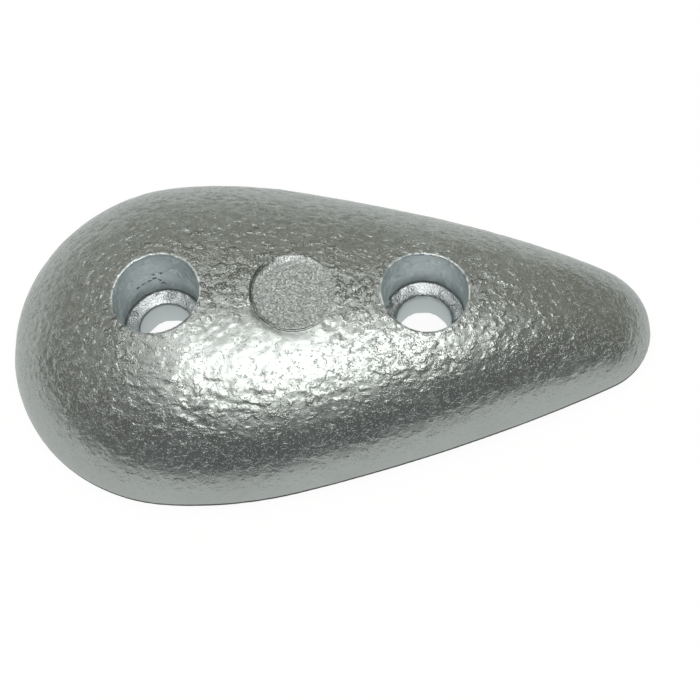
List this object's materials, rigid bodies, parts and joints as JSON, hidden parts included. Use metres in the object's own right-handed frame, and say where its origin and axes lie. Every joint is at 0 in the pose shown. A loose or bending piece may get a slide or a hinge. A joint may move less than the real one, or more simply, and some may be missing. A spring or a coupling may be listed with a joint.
{
  "type": "sacrificial anode",
  "caption": "Teardrop hull anode: a domed zinc casting with a flat mounting face and counterbored bolt holes on its centre line.",
  "frame": {"origin": "on the flat mounting face, midway between the bolt holes", "axes": "+X along the centre line towards the narrow tail, +Z away from the hull, out of the domed skin"},
  "size_m": [0.2013, 0.1102, 0.0365],
  "materials": {
    "cast_zinc": "as-cast zinc, satin grey, finely lumped skin"
  },
  "bodies": {
    "root": {"anode_casting": "cast_zinc"}
  },
  "joints": []
}
